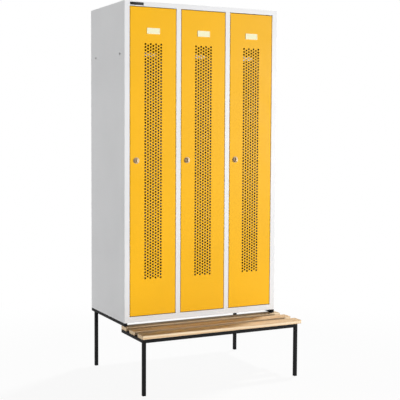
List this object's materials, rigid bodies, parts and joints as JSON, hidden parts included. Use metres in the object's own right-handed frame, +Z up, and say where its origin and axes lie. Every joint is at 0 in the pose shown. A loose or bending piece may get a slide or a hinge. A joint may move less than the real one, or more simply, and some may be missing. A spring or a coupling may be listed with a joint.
{
  "type": "locker with bench",
  "caption": "Steel locker with perforated doors on a tube base, with a slatted wooden bench in front to sit on while changing.",
  "frame": {"origin": "on the floor, under the middle of the overall box", "axes": "+Z up, -Y out of the doors towards the bench, +X to the right seen from the front"},
  "size_m": [0.955, 0.754, 2.035],
  "materials": {
    "cabinet_paint": "light grey powder coat",
    "door_paint": "golden yellow powder coat",
    "frame_black": "black powder coat",
    "slat_wood": "clear varnished light wood",
    "lock_nickel": "satin nickel",
    "label_white": "white plastic",
    "badge_black": "black plastic, bare",
    "cap_plastic": "black plastic",
    "bright_steel": "zinc plated steel"
  },
  "bodies": {
    "carcass": {"back_panel": "cabinet_paint", "badge_plate": "badge_black", "bottom_rail": "cabinet_paint", "clothes_rail_1": "bright_steel", "clothes_rail_2": "bright_steel", "clothes_rail_3": "bright_steel", "door_stops": "cabinet_paint", "floor_panel": "cabinet_paint", "foot_caps": "cap_plastic", "frame_bolts": "bright_steel", "front_bench_rail": "frame_black", "front_left_leg": "frame_black", "front_right_leg": "frame_black", "front_slat": "slat_wood", "hat_shelf_1": "cabinet_paint", "hat_shelf_2": "cabinet_paint", "hat_shelf_3": "cabinet_paint", "hinge_pins": "bright_steel", "left_base_rail": "frame_black", "left_bench_rail": "frame_black", "left_side_panel": "cabinet_paint", "left_stile": "cabinet_paint", "middle_slat": "slat_wood", "mullion_1": "cabinet_paint", "mullion_2": "cabinet_paint", "partition_1": "cabinet_paint", "partition_2": "cabinet_paint", "rail_end_caps": "cap_plastic", "rear_cross_rail": "frame_black", "rear_left_leg": "frame_black", "rear_right_leg": "frame_black", "rear_slat": "slat_wood", "right_base_rail": "frame_black", "right_bench_rail": "frame_black", "right_side_panel": "cabinet_paint", "right_stile": "cabinet_paint", "slat_screws": "bright_steel", "top_panel": "cabinet_paint", "top_rail": "cabinet_paint"},
    "door_1": {"door_1_panel": "door_paint", "door_1_hinge_lugs": "bright_steel", "door_1_label_plate": "label_white", "door_1_lock_rosette": "lock_nickel"},
    "lock_1": {"door_1_lock_knob": "lock_nickel", "door_1_lock_cam": "bright_steel"},
    "hook_1": {"coat_hook_1": "bright_steel"},
    "door_2": {"door_2_panel": "door_paint", "door_2_hinge_lugs": "bright_steel", "door_2_label_plate": "label_white", "door_2_lock_rosette": "lock_nickel"},
    "lock_2": {"door_2_lock_knob": "lock_nickel", "door_2_lock_cam": "bright_steel"},
    "hook_2": {"coat_hook_2": "bright_steel"},
    "door_3": {"door_3_panel": "door_paint", "door_3_hinge_lugs": "bright_steel", "door_3_label_plate": "label_white", "door_3_lock_rosette": "lock_nickel"},
    "lock_3": {"door_3_lock_knob": "lock_nickel", "door_3_lock_cam": "bright_steel"},
    "hook_3": {"coat_hook_3": "bright_steel"}
  },
  "joints": [
    {"name": "door_1_hinge", "type": "hinge", "parent": "carcass", "child": "door_1", "pos_m": [-0.1885, -0.119, 1.185], "axis": [0, 0, 1], "range_deg": [0, 110]},
    {"name": "door_1_lock_turn", "type": "hinge", "parent": "door_1", "child": "lock_1", "pos_m": [-0.4085, -0.125, 1.197], "axis": [0, -1, 0], "range_deg": [0, 90]},
    {"name": "hook_1_slide", "type": "slide", "parent": "carcass", "child": "hook_1", "axis": [1, 0, 0], "range_m": [-0.14785, 0.14785]},
    {"name": "door_2_hinge", "type": "hinge", "parent": "carcass", "child": "door_2", "pos_m": [0.1105, -0.119, 1.185], "axis": [0, 0, 1], "range_deg": [0, 110]},
    {"name": "door_2_lock_turn", "type": "hinge", "parent": "door_2", "child": "lock_2", "pos_m": [-0.1095, -0.125, 1.197], "axis": [0, -1, 0], "range_deg": [0, 90]},
    {"name": "hook_2_slide", "type": "slide", "parent": "carcass", "child": "hook_2", "axis": [1, 0, 0], "range_m": [-0.1399, 0.1399]},
    {"name": "door_3_hinge", "type": "hinge", "parent": "carcass", "child": "door_3", "pos_m": [0.4095, -0.119, 1.185], "axis": [0, 0, 1], "range_deg": [0, 110]},
    {"name": "door_3_lock_turn", "type": "hinge", "parent": "door_3", "child": "lock_3", "pos_m": [0.1895, -0.125, 1.197], "axis": [0, -1, 0], "range_deg": [0, 90]},
    {"name": "hook_3_slide", "type": "slide", "parent": "carcass", "child": "hook_3", "axis": [1, 0, 0], "range_m": [-0.14785, 0.14785]}
  ]
}
